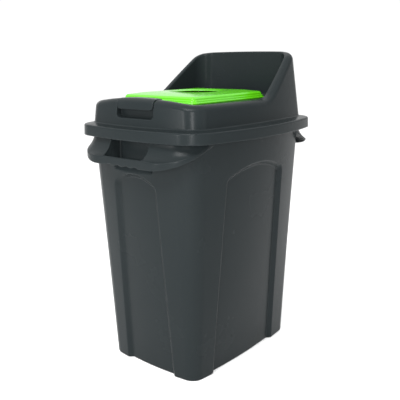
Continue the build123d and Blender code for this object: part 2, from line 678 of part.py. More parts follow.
def make_hinge_pin_caps():
    """Push-on caps over the inner ends of the hinge pins."""
    reach = KNUCKLE_HALF_WIDTH + CLEAR + EAR_THICKNESS
    with BuildPart() as caps:
        for outward in (-1, 1):
            cap_x = outward * (HINGE_X - reach - 2)
            with Locations(Location((cap_x, *HINGE_AXIS), (0, 90, 0))):
                Cylinder(PIN_HEAD_RADIUS, PIN_HEAD_THICKNESS)
                Cylinder(HINGE_PIN_RADIUS + 0.05, PIN_HEAD_THICKNESS, mode=Mode.SUBTRACT)
    return caps.part


# ---- bag ring ----
def make_bag_ring():
    """The steel ring that holds the bag's mouth open inside the tub."""
    with BuildPart() as ring:
        with BuildSketch(Plane.XY.offset(BAG_RING_Z - BAG_RING_WIRE)):
            for grow, mode in ((BAG_RING_WIRE, Mode.ADD), (-BAG_RING_WIRE, Mode.SUBTRACT)):
                width = 2 * (BAG_RING_HALF_WIDTH + grow)
                length = 2 * (BAG_RING_HALF_LENGTH + grow)
                RectangleRounded(width, length, BAG_RING_CORNER + grow, mode=mode)
        extrude(amount=2 * BAG_RING_WIRE)
        fillet(ring.edges().filter_by(Plane.XY), BAG_RING_WIRE * 0.9)
    return ring.part


def make_bag_ring_clips():
    """Four plastic clips on the long walls that carry the bag ring."""
    inner = stack([tub_level(490, -WALL), tub_level(534, -WALL)])
    half = BAG_RING_WIRE + 0.3
    with BuildPart() as clips:
        for side in (-1, 1):
            for y in (-CLIP_Y, CLIP_Y):
                x_low, x_high = sorted((side * (BAG_RING_HALF_WIDTH - CLIP_REACH), side * RIM_WIDTH / 2))
                add(box_between((x_low, y - CLIP_HALF_WIDTH, CLIP_LOW_Z),
                                (x_high, y + CLIP_HALF_WIDTH, CLIP_HIGH_Z)))
        add(inner, mode=Mode.INTERSECT)
        for side in (-1, 1):
            x_low, x_high = sorted((side * BAG_RING_HALF_WIDTH - half, side * BAG_RING_HALF_WIDTH + half))
            add(box_between((x_low, -100, BAG_RING_Z - half), (x_high, 100, BAG_RING_Z + 20)),
                mode=Mode.SUBTRACT)
    return clips.part


def make_lid_buffers():
    """Four rubber buffers under the lid's shelf that meet the tub's rim."""
    with BuildPart() as buffers:
        with Locations(*[(x, y, RIM_Z + BUFFER_GAP) for x, y in BUFFER_PLACES]):
            Cylinder(BUFFER_RADIUS, BUFFER_TOP_Z - RIM_Z - BUFFER_GAP,
                     align=(Align.CENTER, Align.CENTER, Align.MIN))
    return buffers.part


PIECES = {
    "bin_body": make_bin_body,
    "lid_shell": make_lid_shell,
    "aperture_plate": make_aperture_plate,
    "aperture_plate_screws": make_plate_screws,
    "lid_buffers": make_lid_buffers,
    "latch_flap": make_latch_flap,
    "latch_pin": make_latch_pin,
    "latch_spring": make_latch_spring,
    "latch_keeper": make_latch_keeper,
    "latch_keeper_screws": make_keeper_screws,
    "hinge_pin_left": lambda: make_hinge_pin(-HINGE_X, -1),
    "hinge_pin_right": lambda: make_hinge_pin(HINGE_X, 1),
    "hinge_pin_caps": make_hinge_pin_caps,
    "bag_ring": make_bag_ring,
    "bag_ring_clips": make_bag_ring_clips,
}

os.makedirs("parts", exist_ok=True)
for piece_name, make_piece in PIECES.items():
    piece = make_piece()
    piece.label = piece_name
    export_step(piece, f"parts/{piece_name}.step")
    print(piece_name, round(piece.volume), piece.is_valid, len(piece.solids()))
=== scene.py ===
import json
import math

import bpy
import numpy as np
from mathutils import Matrix, Vector


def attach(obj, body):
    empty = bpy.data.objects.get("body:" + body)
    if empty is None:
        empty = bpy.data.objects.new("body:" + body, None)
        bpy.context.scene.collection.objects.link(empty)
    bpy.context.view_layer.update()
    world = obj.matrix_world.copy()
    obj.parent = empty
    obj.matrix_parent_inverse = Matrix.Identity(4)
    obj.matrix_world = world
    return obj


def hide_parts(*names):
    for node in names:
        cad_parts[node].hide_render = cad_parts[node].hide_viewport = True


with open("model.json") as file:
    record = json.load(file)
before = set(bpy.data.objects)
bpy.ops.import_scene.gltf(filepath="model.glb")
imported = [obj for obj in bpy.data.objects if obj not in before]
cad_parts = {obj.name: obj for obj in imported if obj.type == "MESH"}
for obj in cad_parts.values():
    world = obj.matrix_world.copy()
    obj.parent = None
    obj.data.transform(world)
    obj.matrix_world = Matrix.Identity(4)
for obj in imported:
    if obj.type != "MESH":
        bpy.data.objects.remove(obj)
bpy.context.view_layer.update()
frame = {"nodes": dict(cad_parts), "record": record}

# The look of the dog waste bin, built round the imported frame. Shapes are worked out in millimetres and
# written to the meshes in metres. The front (latch) faces -Y and the hinge is at +Y.
MM = 0.001
WALL = 3.5
COS_45 = math.sqrt(0.5)

# ---- tub ----
RIM_Z = 536.0
BASE = np.array((272.0, 374.0, 11.1, 10.7, 31.5))    # width, length, side bow, end bow, corner radius
RIM = np.array((354.0, 452.0, 34.0, 23.0, 74.0))
FLOOR_Z = 4.0
FLANGE_LOW_Z = 532.0
FLANGE = np.array((386.0, 458.0, 34.0, 23.0, 77.0))
PANEL_DEPTH = 8.8
SIDE_PANEL = dict(bottom=114.4, shoulder_half=101.0, shoulder=441.0, apex=466.0, middle=-6.0)
END_PANEL = dict(bottom=72.4, shoulder_half=60.0, shoulder=428.0, apex=453.0, middle=0.0)
SHOULDER_RADIUS = 20.0
PANEL_EDGE, PANEL_FOOT = 5.0, 4.0
BASE_ROUNDING, FLOOR_FILLET, RIM_ROUNDING = 4.0, 6.0, 1.2
FLANGE_ROUNDING, FLANGE_FILLET = 1.5, 1.0

# ---- handles ----
HANDLE_HALF_WIDTH, HANDLE_FRONT, HANDLE_CORNER = 158.0, 248.9, 85.0
REAR_HANDLE_HALF_WIDTH, REAR_HANDLE_CORNER = 165.0, 75.0
HANDLE_TOP_Z, HANDLE_RIDGE_Z = 534.0, 489.0
HANDLE_LOW_Z, HANDLE_LOW_SLOPE = 470.0, 0.45
COVE_RADIUS, COVE_START = 50.0, 0.6
GRIP_HALF_WIDTH = 56.0
WINDOW_TOP_Z = 524.0
POCKET_BACK, POCKET_LOW_Z = 197.0, 474.0
POCKET_LIP_Y, POCKET_LIP_Z = 220.0, 456.0
FINGER_PITCH, FINGER_RADIUS, FINGER_BITE = 25.0, 14.0, 3.4
FINGER_DEPTH, FINGER_EDGE = 12.0, 1.5
POCKET_BACK_FILLET, POCKET_SIDE_FILLET = 6.0, 4.0
POCKET_MOUTH, POCKET_EDGE = 0.5, 1.5
APRON_EDGE, APRON_COSINE = 2.0, 0.44    # the cosine is that of the angle between plan wall and apron
HANDLE_HOLLOW_FILLET, HANDLE_LOW_EDGE, HANDLE_ROOT_FILLET = 3.0, 2.5, 2.0
WINDOW_CORNER, WINDOW_EDGE = 3.0, 1.2

# ---- lid ----
SKIRT_LOW_Z, SHELF_Z, WALL_FOOT_Z, WALL_TOP_Z = 522.0, 545.0, 548.6, 704.0
SKIRT_LOW = np.array((401.0, 471.0, 33.8, 20.0, 73.0))
SKIRT_HIGH = np.array((399.6, 469.6, 33.8, 20.0, 73.0))
SHELF_SLOPE, SHELF_REACH, SHELF_EDGE, WALL_FOOT_FILLET = 0.15, 30.0, 3.0, 3.0
SKIRT_EDGE = 1.4
LID_FOOT = np.array((345.2, 424.8, 20.7, 18.7, 46.0))
LID_TOP = np.array((314.0, 393.0, 18.0, 15.0, 56.0))
DECK_Z, HOOD_TOP_Z = 592.0, 712.0
HOOD_FOOT = np.array((296.0, 376.0, 16.0, 14.4, 40.0))
HOOD_TOP = np.array((278.0, 356.0, 14.5, 12.5, 44.0))
LID_RIM_Z, LID_TOP_LINE_Z = 595.0, 699.0
RAMP = ((-250.0, 595.0), (35.5, 595.0), (157.0, 692.0), (250.0, 705.0))
RAMP_RADII = (60.0, 80.0)
CROWN_HALF_WIDTH, CROWN_SIDE_Z = 210.0, 681.0
FRONT_CROWN_HALF_WIDTH, FRONT_CROWN_Z = 135.0, 605.5
CROWN_ROUNDING, LIP_ROUNDING, DECK_FILLET = 13.0, 3.0, 5.0

# ---- latch ----
FLAP_HALF_WIDTH, FLAP_LOW_Z, FLAP_BACK, FLAP_THICKNESS = 52.0, 583.0, -178.0, 3.0
FLAP_PIVOT = (-199.0, 595.0)
FLAP_GAP = 1.1
POCKET_FLOOR_Z, FINGER_POCKET_BACK, POCKET_WALL = 565.0, -193.0, 2.5
HOOK_HALF_WIDTH, HOOK_TIP_Z, HOOK_EDGE = 9.0, 533.0, 0.6
HOOK_LEAN, HOOK_NOSE_GAP, HOOK_NOSE_ROOT = 3.0, 0.6, 1.0
HOOK_SLOT_GAP, HOOK_SLOT_FRONT, HOOK_SLOT_BACK = 1.0, 12.0, 3.5
HOOK_SLOT_BELOW, HOOK_SLOT_ABOVE = 10.0, 30.0
OPENING_GAP, OPENING_EDGE = 0.4, 1.2
POCKET_CORNER, FINGER_POCKET_FILLET = 8.0, 2.0
OVER_RIM_BACK, OVER_RIM_STEP = 1.5, 2.0
FLAP_PROUD, FLAP_CORNER, FLAP_EDGE = 0.6, 8.0, 1.0
LUG_X, LUG_HALF_THICKNESS, LUG_RADIUS, LUG_RISE = 40.0, 2.0, 4.4, 8.0

# ---- aperture plate ----
PLATE_Y = -17.5
PLATE_SIZE = np.array((218.0, 261.0, 1.5, 1.5, 16.0))
PLATE_STEPS, PLATE_STEP_HEIGHT, PLATE_STEP_INSET = 3, 4.0, 3.2
PLATE_TOP_Z, PLATE_WALL = 607.0, 3.0
PLATE_CROWN_Z, PLATE_CROWN_INSET = 611.0, 27.0
HOLE_Y, HOLE_RADIUS, DISH_RADIUS, DISH_DEPTH, HOLE_LIP = 9.5, 51.0, 63.5, 2.6, 1.2
DECK_LEDGE, DECK_HOLE_CORNER, DECK_HOLE_REACH = 35.0, 10.0, 20.0
STEP_LEAN, STEP_LEDGE_SLOPE, STEP_EDGE = 0.8, 0.4, 1.6
TOP_STEP_LEAN, TOP_EDGE = 1.5, 2.0
DISH_SHOULDER, LIP_SLOPE, UNDERSIDE_REACH, UNDERSIDE_DROP = 3.0, 0.3, 2.0, 0.5

# ---- hinge ----
HINGE_X, HINGE_Y, HINGE_Z = 87.0, 240.0, 528.0
KNUCKLE_RADIUS, KNUCKLE_HALF_WIDTH, EAR_THICKNESS = 6.5, 9.6, 5.0
EAR_REACH, EAR_GAP, HINGE_EDGE = 20.0, 0.4, 0.8
NOTCH_GAP, NOTCH_DEPTH, NOTCH_TOP_Z = 0.8, 18.0, 537.0
ARM_RISE, ARM_LEAN, ARM_TAPER = 12.0, 9.0, 1.5


# ---- distance fields: negative inside, in millimetres ----
def rounded_max(a, b, radius, cosine=0.0):
    """Where both regions are, with the edge between them rounded. cosine is that of the angle between
    their outward normals."""
    p = a + radius
    q = b + radius
    beside_edge = (p > q * cosine) & (q > p * cosine)
    square = np.maximum(p * p + q * q - 2 * cosine * p * q, 0)
    arc = np.sqrt(square / (1 - cosine**2)) - radius
    return np.where(beside_edge, arc, np.maximum(a, b))


def rounded_min(a, b, radius, cosine=0.0):
    """Where either region is, with a fillet in the corner between them."""
    return -rounded_max(-a, -b, radius, cosine)


def outline(x, y, size):
    """Distance from a rounded rectangle whose sides bow outwards."""
    width, length, side_bow, end_bow, corner = size
    half_x = width / 2 - side_bow
    half_y = length / 2 - end_bow
    side_radius = (half_y**2 + side_bow**2) / (2 * side_bow)
    end_radius = (half_x**2 + end_bow**2) / (2 * end_bow)
    side = np.hypot(np.abs(x) - width / 2 + side_radius, y) - side_radius
    end = np.hypot(x, np.abs(y) - length / 2 + end_radius) - end_radius
    turn = 2 * np.arctan(side_bow / half_y) + 2 * np.arctan(end_bow / half_x)
    return rounded_max(side, end, corner, np.sin(turn))


def between(low, high, share):
    """A size that changes evenly from low to high."""
    return [a + (b - a) * share for a, b in zip(low, high)]


def block(coordinate, low, high):
    """Distance from the slab between low and high."""
    return np.maximum(low - coordinate, coordinate - high)


def tub_outline(x, y, z):
    """Distance from the tub's outline at height z."""
    return outline(x, y, between(BASE, RIM, z / RIM_Z))


def arch(s, z, panel):
    """Distance from a panel's outline, in the plane of its wall."""
    lean = (panel["bottom"] - panel["shoulder_half"]) / panel["shoulder"]
    across = np.abs(s - panel["middle"])
    sides = (across - panel["bottom"] + lean * z) / math.hypot(1, lean)
    rise = panel["apex"] - panel["shoulder"]
    radius = (panel["shoulder_half"]**2 + rise**2) / (2 * rise)
    top = np.hypot(across, np.maximum(z - panel["apex"] + radius, 0)) - radius
    turn = math.asin(panel["shoulder_half"] / radius) + math.atan(lean)
    return rounded_max(sides, top, SHOULDER_RADIUS, math.sin(turn))


def recess(outer, edge):
    """A recess with walls at 45 degrees, sunk into the outer surface within edge."""
    return rounded_max(-outer - PANEL_DEPTH, (edge - outer) * COS_45, PANEL_FOOT, COS_45)


def tub_walls(x, y, z):
    """The tub's outer form with its four arched panels, without floor or rim."""
    outer = tub_outline(x, y, z)
    sunk = np.minimum(recess(outer, arch(y, z, SIDE_PANEL)), recess(outer, arch(x, z, END_PANEL)))
    return rounded_max(outer, -sunk, PANEL_EDGE, COS_45)


def hand_pocket(x, y, z):
    """The hand pocket in the wall behind the front grip."""
    floor_slope = (POCKET_LOW_Z - POCKET_LIP_Z) / (POCKET_LIP_Y - POCKET_BACK)
    floor = (POCKET_LIP_Z + (y + POCKET_LIP_Y) * floor_slope - z) / math.hypot(1, floor_slope)
    floor = np.maximum(floor, POCKET_LIP_Z - z)
    section = rounded_max(floor, y + POCKET_BACK, POCKET_BACK_FILLET)
    section = np.maximum(section, z - FLANGE_LOW_Z)
    return rounded_max(section, np.abs(x) - GRIP_HALF_WIDTH, POCKET_SIDE_FILLET)


def handle(x, y, z, half_width, corner):
    """A handle: a scoop open below, with a hand window in its apron and grooves for fingers."""
    plan = rounded_max(np.abs(x) - half_width, -y - HANDLE_FRONT, corner)
    wall = tub_outline(x, y, z)
    apron = COVE_RADIUS - np.hypot(wall - COVE_START - COVE_RADIUS, z - HANDLE_TOP_Z)
    form = rounded_max(plan, apron, APRON_EDGE, APRON_COSINE)
    form = np.maximum(form, z - HANDLE_TOP_Z)
    under = HANDLE_LOW_Z + HANDLE_LOW_SLOPE * (y + HANDLE_FRONT) - z
    form = rounded_max(form, under / math.hypot(1, HANDLE_LOW_SLOPE), HANDLE_LOW_EDGE)
    groove_x = np.abs(np.abs(x) - FINGER_PITCH) - FINGER_PITCH / 2
    groove = np.hypot(groove_x, z - HANDLE_LOW_Z + FINGER_RADIUS - FINGER_BITE) - FINGER_RADIUS
    groove = np.maximum(groove, y + HANDLE_FRONT - FINGER_DEPTH)
    form = rounded_max(form, -groove, FINGER_EDGE)
    hollow = rounded_max(plan + WALL, apron + WALL, HANDLE_HOLLOW_FILLET, APRON_COSINE)
    hollow = np.maximum(hollow, -wall)
    rib = np.abs(np.abs(x) - GRIP_HALF_WIDTH - WALL / 2) - WALL / 2
    form = np.maximum(form, -np.maximum(hollow, -rib))
    window_height = block(z, HANDLE_RIDGE_Z, WINDOW_TOP_Z)
    window = rounded_max(np.abs(x) - GRIP_HALF_WIDTH, window_height, WINDOW_CORNER)
    window = np.maximum(window, y + POCKET_BACK)
    return rounded_max(form, -window, WINDOW_EDGE)


def hinge_ears(x, y, z):
    """The four ears that hold the hinge pins."""
    across = np.abs(np.abs(x) - HINGE_X) - KNUCKLE_HALF_WIDTH - EAR_THICKNESS / 2 - EAR_GAP
    along = y - np.clip(y, HINGE_Y - EAR_REACH, HINGE_Y)
    round_bar = np.hypot(along, z - HINGE_Z) - KNUCKLE_RADIUS
    return rounded_max(round_bar, np.abs(across) - EAR_THICKNESS / 2, HINGE_EDGE)


def tub(x, y, z):
    """The whole tub moulding."""
    front_y = -np.abs(y)
    walls = tub_walls(x, y, z)
    pocket = hand_pocket(x, front_y, z)
    form = rounded_max(walls, -z, BASE_ROUNDING)
    half_width = np.where(y < 0, HANDLE_HALF_WIDTH, REAR_HANDLE_HALF_WIDTH)
    corner = np.where(y < 0, HANDLE_CORNER, REAR_HANDLE_CORNER)
    form = rounded_min(form, handle(x, front_y, z, half_width, corner), HANDLE_ROOT_FILLET)
    cavity = rounded_max(walls + WALL, FLOOR_Z - z, FLOOR_FILLET)
    cavity = np.maximum(cavity, WALL - pocket)
    form = np.maximum(form, -cavity)
    pocket_mouth = np.maximum(pocket, tub_outline(x, y, z) - POCKET_MOUTH)
    form = rounded_max(form, -pocket_mouth, POCKET_EDGE)
    form = rounded_max(form, z - RIM_Z, RIM_ROUNDING)
    flange = rounded_max(outline(x, y, FLANGE), block(z, FLANGE_LOW_Z, RIM_Z), FLANGE_ROUNDING)
    flange = np.maximum(flange, -(tub_outline(x, y, z) + WALL))
    form = rounded_min(form, flange, FLANGE_FILLET)
    return np.minimum(form, hinge_ears(x, y, z))


def with_arcs(points, radii, steps):
    """A line of points whose inner corners are rounded to arcs."""
    line = [np.array(points[0], float)]
    for before, corner, after, radius in zip(points, points[1:], points[2:], radii):
        into = np.subtract(corner, before) / math.dist(corner, before)
        out = np.subtract(after, corner) / math.dist(after, corner)
        turn = math.atan2(into[0] * out[1] - into[1] * out[0], into @ out)
        start = corner - into * radius * abs(math.tan(turn / 2))
        centre = start + math.copysign(radius, turn) * np.array((-into[1], into[0]))
        for angle in np.linspace(0, turn, steps):
            cosine, sine = math.cos(angle), math.sin(angle)
            line.append(centre + np.array(((cosine, -sine), (sine, cosine))) @ (start - centre))
    line.append(np.array(points[-1], float))
    return np.array(line)


def crown(x, half_width, side_z, middle_z):
    """Height of an arc across the lid."""
    rise = middle_z - side_z
    radius = (half_width**2 + rise**2) / (2 * rise)
    return middle_z - radius + np.sqrt(radius**2 - x * x)


RAMP_LINE = with_arcs(RAMP, RAMP_RADII, 40)
RAMP_SLOPE = np.gradient(RAMP_LINE[:, 1], RAMP_LINE[:, 0])


def lid_top(x, y, z):
    """Distance above the lid's top line: low rim, long ramp, crowned hood."""
    height = np.interp(y, *RAMP_LINE.T)
    slope = np.interp(y, RAMP_LINE[:, 0], RAMP_SLOPE)
    height = np.maximum(height, crown(x, FRONT_CROWN_HALF_WIDTH, LID_RIM_Z - 1, FRONT_CROWN_Z))
    hood = crown(x, CROWN_HALF_WIDTH, CROWN_SIDE_Z, LID_TOP_LINE_Z)
    return (z - np.minimum(height, hood)) / np.hypot(1, slope)


def lid_form(x, y, z):
    """The lid's outer form: skirt, shelf, drafted wall, ramp and crown, without its underside."""
    skirt_share = np.clip((z - SKIRT_LOW_Z) / (SHELF_Z - SKIRT_LOW_Z), 0, 1)
    skirt = outline(x, y, between(SKIRT_LOW, SKIRT_HIGH, skirt_share))
    shelf = z - SHELF_Z + SHELF_SLOPE * np.maximum(skirt, -SHELF_REACH)
    skirt = rounded_max(skirt, shelf, SHELF_EDGE)
    wall = outline(x, y, between(LID_FOOT, LID_TOP, (z - WALL_FOOT_Z) / (WALL_TOP_Z - WALL_FOOT_Z)))
    wall = rounded_max(wall, lid_top(x, y, z), CROWN_ROUNDING)
    return rounded_min(skirt, wall, WALL_FOOT_FILLET)


def hood_space(x, y, z):
    """The open space over the deck, inside the hood and the low rim."""
    share = (z - DECK_Z) / (HOOD_TOP_Z - DECK_Z)
    return rounded_max(outline(x, y, between(HOOD_FOOT, HOOD_TOP, share)), DECK_Z - z, DECK_FILLET)


def latch_opening(x, y, z, gap=0.0):
    """The finger pocket below the flap and the slots over the rim."""
    across = np.abs(x) - FLAP_HALF_WIDTH - OPENING_GAP - gap
    pocket = rounded_max(across, POCKET_FLOOR_Z - gap - z, POCKET_CORNER + gap)
    pocket = rounded_max(pocket, y - FINGER_POCKET_BACK - gap, FINGER_POCKET_FILLET)
    over_rim = np.maximum(across, y - FLAP_BACK - OVER_RIM_BACK)
    over_rim = np.maximum(over_rim, DECK_Z + OVER_RIM_STEP - gap - z)
    return np.minimum(pocket, over_rim)


def lid(x, y, z):
    """The whole lid moulding."""
    form = lid_form(x, y, z)
    space = hood_space(x, y, z)
    hollow = np.maximum(form + WALL, WALL - space)
    hollow = np.maximum(hollow, -latch_opening(x, y, z, POCKET_WALL))
    shell = rounded_max(form, -space, LIP_ROUNDING)
    shell = rounded_max(shell, -latch_opening(x, y, z), OPENING_EDGE)
    hook_slot = block(y, FLAP_BACK - HOOK_SLOT_FRONT, FLAP_BACK + HOOK_SLOT_BACK)
    hook_slot = np.maximum(hook_slot, np.abs(x) - HOOK_HALF_WIDTH - HOOK_SLOT_GAP)
    hook_slot = np.maximum(hook_slot, block(z, DECK_Z - HOOK_SLOT_BELOW, DECK_Z + HOOK_SLOT_ABOVE))
    shell = np.maximum(np.maximum(shell, -hollow), -hook_slot)
    hole_x = np.abs(x) - PLATE_SIZE[0] / 2 + DECK_LEDGE
    hole_y = np.abs(y - PLATE_Y) - PLATE_SIZE[1] / 2 + DECK_LEDGE
    deck_hole = rounded_max(hole_x, hole_y, DECK_HOLE_CORNER)
    deck_hole = np.maximum(deck_hole, block(z, DECK_Z - DECK_HOLE_REACH, DECK_Z + DECK_HOLE_REACH))
    shell = np.maximum(shell, -deck_hole)
    shell = rounded_max(shell, SKIRT_LOW_Z - z, SKIRT_EDGE)
    knuckle_x = np.abs(np.abs(x) - HINGE_X) - KNUCKLE_HALF_WIDTH
    notch = np.maximum(knuckle_x - EAR_THICKNESS - NOTCH_GAP, HINGE_Y - NOTCH_DEPTH - y)
    shell = rounded_max(shell, -np.maximum(notch, z - NOTCH_TOP_Z), HINGE_EDGE)
    arm_share = np.clip((z - HINGE_Z) / ARM_RISE, 0, 1)
    arm = np.hypot(y - HINGE_Y + ARM_LEAN * arm_share, z - HINGE_Z - ARM_RISE * arm_share)
    arm = arm - KNUCKLE_RADIUS + ARM_TAPER * arm_share
    knuckle = rounded_max(arm, knuckle_x, HINGE_EDGE)
    return np.minimum(shell, knuckle)


def latch_flap(x, y, z):
    """The flap over the finger pocket: a cap on the lid's rim with rounded lower corners, lugs and hook."""
    pivot_y, pivot_z = FLAP_PIVOT
    skin = lid_form(x, y, z) - FLAP_PROUD
    cap = np.maximum(skin, -(skin + FLAP_THICKNESS))
    across = np.abs(x) - FLAP_HALF_WIDTH + FLAP_GAP
    trim = rounded_max(across, FLAP_LOW_Z - z, FLAP_CORNER)
    trim = np.maximum(trim, y - FLAP_BACK)
    cap = rounded_max(cap, trim, FLAP_EDGE)
    lug = np.hypot(y - pivot_y, z - pivot_z - np.clip(z - pivot_z, 0, LUG_RISE)) - LUG_RADIUS
    lug = np.maximum(lug, np.abs(np.abs(x) - LUG_X) - LUG_HALF_THICKNESS)
    hook = block(y, FLAP_BACK - FLAP_THICKNESS, FLAP_BACK)
    nose_slope = HOOK_LEAN / (RIM_Z - HOOK_TIP_Z)
    nose = np.maximum(block(z, HOOK_TIP_Z, RIM_Z - HOOK_NOSE_GAP), FLAP_BACK - HOOK_NOSE_ROOT - y)
    nose = np.maximum(nose, y - FLAP_BACK - (z - HOOK_TIP_Z) * nose_slope)
    hook = np.maximum(np.minimum(hook, nose), block(z, HOOK_TIP_Z, FRONT_CROWN_Z - 1))
    hook = rounded_max(hook, np.abs(x) - HOOK_HALF_WIDTH, HOOK_EDGE)
    return np.minimum(np.minimum(cap, np.maximum(lug, skin)), hook)


# ---- meshes from fields ----
BISECTIONS = 40
FLATTEST_SLOPE, TINY = 0.05, 1e-9
RELAXING = 0.5    # the share of the way to the neighbours' middle


def gradient(field, points, reach=0.05):
    """The field's direction of steepest rise at each point, as three numbers per point."""
    x, y, z = points.T
    rise = [field(x + reach, y, z) - field(x - reach, y, z),
            field(x, y + reach, z) - field(x, y - reach, z),
            field(x, y, z + reach) - field(x, y, z - reach)]
    return np.stack(rise, 1) / (2 * reach)


def settle(field, points, most, reach=0.02):
    """The points moved onto the field's zero surface, none further than most."""
    x, y, z = points.T
    value = field(x, y, z)
    slope = np.stack([field(x + reach, y, z), field(x, y + reach, z), field(x, y, z + reach)], 1)
    slope = (slope - value[:, None]) / reach
    shift = -(value / np.maximum((slope**2).sum(1), FLATTEST_SLOPE))[:, None] * slope
    length = np.linalg.norm(shift, axis=1, keepdims=True)
    return points + shift * np.minimum(1, most / np.maximum(length, TINY))


def sampled(field, low, high, step):
    """The field on a grid that is even about x = 0. Only its right half is worked out."""
    right = np.arange(step / 2, high[0], step)
    y = np.arange(low[1], high[1], step)[None, :, None]
    z = np.arange(low[2], high[2], step)[None, None, :]
    slabs = [np.broadcast_to(field(np.full((1, 1, 1), x), y, z), (1, y.size, z.size)) for x in right]
    half = np.concatenate(slabs, 0)
    values = np.concatenate([half[::-1], half], 0).astype(np.float32)
    origin = np.array((-right[-1], low[1], low[2]))
    return values, origin


def net(values, origin, step):
    """Points and quads of the zero surface: one point per crossed cell, one quad per crossed edge."""
    cells = np.array(values.shape) - 1
    strides = np.array((cells[1] * cells[2], cells[2], 1))
    sums = np.zeros((cells.prod(), 3))
    counts = np.zeros(cells.prod())
    quads = []
    for axis in range(3):
        near = np.take(values, range(values.shape[axis] - 1), axis)
        far = np.take(values, range(1, values.shape[axis]), axis)
        index = np.stack(np.nonzero((near < 0) != (far < 0)), 1)
        a = near[tuple(index.T)].astype(float)
        b = far[tuple(index.T)].astype(float)
        crossing = index.astype(float)
        crossing[:, axis] += a / (a - b)
        u, v = (axis + 1) % 3, (axis + 2) % 3
        corners = []
        for du, dv in ((0, 0), (-1, 0), (-1, -1), (0, -1)):
            cell = index.copy()
            cell[:, u] += du
            cell[:, v] += dv
            flat = cell @ strides
            corners.append(flat)
            for k in range(3):
                sums[:, k] += np.bincount(flat, crossing[:, k], len(counts))
            counts += np.bincount(flat, minlength=len(counts))
        quad = np.stack(corners, 1)
        quad[a > 0] = quad[a > 0][:, ::-1]
        quads.append(quad)
    used = np.flatnonzero(counts)
    number = np.full(len(counts), -1)
    number[used] = np.arange(len(used))
    points = origin + step * sums[used] / counts[used][:, None]
    return points, number[np.concatenate(quads)]


def relaxed(points, quads):
    """Each point moved part of the way to the middle of its neighbours."""
    sums = np.zeros_like(points)
    counts = np.zeros(len(points))
    for a, b in ((0, 1), (1, 2), (2, 3), (3, 0)):
        for i, j in ((quads[:, a], quads[:, b]), (quads[:, b], quads[:, a])):
            for k in range(3):
                sums[:, k] += np.bincount(i, points[j, k], len(points))
            counts += np.bincount(i, minlength=len(points))
    return points + RELAXING * (sums / counts[:, None] - points)


def new_object(name, points, faces):
    """A mesh object whose points are given in millimetres."""
    mesh = bpy.data.meshes.new(name)
    mesh.from_pydata((np.asarray(points) * MM).tolist(), [], np.asarray(faces).tolist())
    mesh.update()
    piece = bpy.data.objects.new(name, mesh)
    bpy.context.scene.collection.objects.link(piece)
    return piece


def apply_modifiers(piece):
    """The piece's mesh replaced by what its modifiers make of it."""
    depsgraph = bpy.context.evaluated_depsgraph_get()
    piece.data = bpy.data.meshes.new_from_object(piece.evaluated_get(depsgraph))
    piece.modifiers.clear()


def moulding(name, field, low, high, step, triangles):
    """A moulded piece: the field's surface as an even net, thinned where it is flat, with the field's own
    normals so that it shades smoothly."""
    values, origin = sampled(field, low, high, step)
    points, quads = net(values, origin, step)
    points = settle(field, points, step)
    points = settle(field, relaxed(points, quads), step / 2)
    piece = new_object(name, points, quads)
    thin = piece.modifiers.new("thin", "DECIMATE")
    thin.ratio = min(1.0, triangles / (2 * len(quads)))
    apply_modifiers(piece)
    mesh = piece.data
    final = np.zeros(len(mesh.vertices) * 3)
    mesh.vertices.foreach_get("co", final)
    normals = gradient(field, final.reshape(-1, 3) / MM)
    normals /= np.maximum(np.linalg.norm(normals, axis=1, keepdims=True), TINY)
    mesh.polygons.foreach_set("use_smooth", [True] * len(mesh.polygons))
    mesh.normals_split_custom_set_from_vertices(normals.tolist())
    return piece


def along_rays(field, centre, directions, furthest=300.0):
    """How far the field's outline lies from the centre in each direction."""
    near = np.zeros(len(directions))
    far = np.full(len(directions), furthest)
    for _ in range(BISECTIONS):
        middle = (near + far) / 2
        inside = field(*(centre + middle[:, None] * directions).T) < 0
        near = np.where(inside, middle, near)
        far = np.where(inside, far, middle)
    return near


def ring_mesh(name, loops):
    """A closed piece through loops with the same number of points. The last loop joins the first."""
    count = len(loops[0])
    faces = []
    for j in range(len(loops)):
        low, high = j * count, (j + 1) % len(loops) * count
        faces += [(low + i, low + (i + 1) % count, high + (i + 1) % count, high + i) for i in range(count)]
    piece = new_object(name, np.concatenate(loops), faces)
    piece.data.polygons.foreach_set("use_smooth", [True] * len(faces))
    piece.modifiers.new("even", "WEIGHTED_NORMAL")
    return piece


def tube(name, path, radius):
    """A round wire along a smooth path of points in millimetres."""
    curve = bpy.data.curves.new(name, "CURVE")
    curve.dimensions = "3D"
    curve.bevel_depth = radius * MM
    curve.bevel_resolution = 4
    spline = curve.splines.new("POLY")
    spline.points.add(len(path) - 1)
    for point, place in zip(spline.points, path):
        point.co = (*[c * MM for c in place], 1)
    curve.use_fill_caps = True
    drawn = bpy.data.objects.new(name, curve)
    bpy.context.scene.collection.objects.link(drawn)
    mesh = bpy.data.meshes.new_from_object(drawn.evaluated_get(bpy.context.evaluated_depsgraph_get()))
    bpy.data.objects.remove(drawn)
    mesh.polygons.foreach_set("use_smooth", [True] * len(mesh.polygons))
    piece = bpy.data.objects.new(name, mesh)
    bpy.context.scene.collection.objects.link(piece)
    return piece


# ---- materials ----
FLOW_SCALE, FLOW_DETAIL = 7.0, 4.0
GRAIN_DETAIL, SCRATCH_DETAIL, SCRATCH_DEPTH = 2.0, 6.0, 0.00005
WEAR_START, WEAR_END, WEAR_MOST = 0.52, 0.62, 0.35
WEAR_GAIN, WEAR_LIFT = 1.6, 0.006
GLOSS_BELOW, GLOSS_ABOVE = 0.05, 0.07
METAL_SHADE, METAL_GLOSS_BELOW, METAL_GLOSS_ABOVE = 0.75, 0.1, 0.15


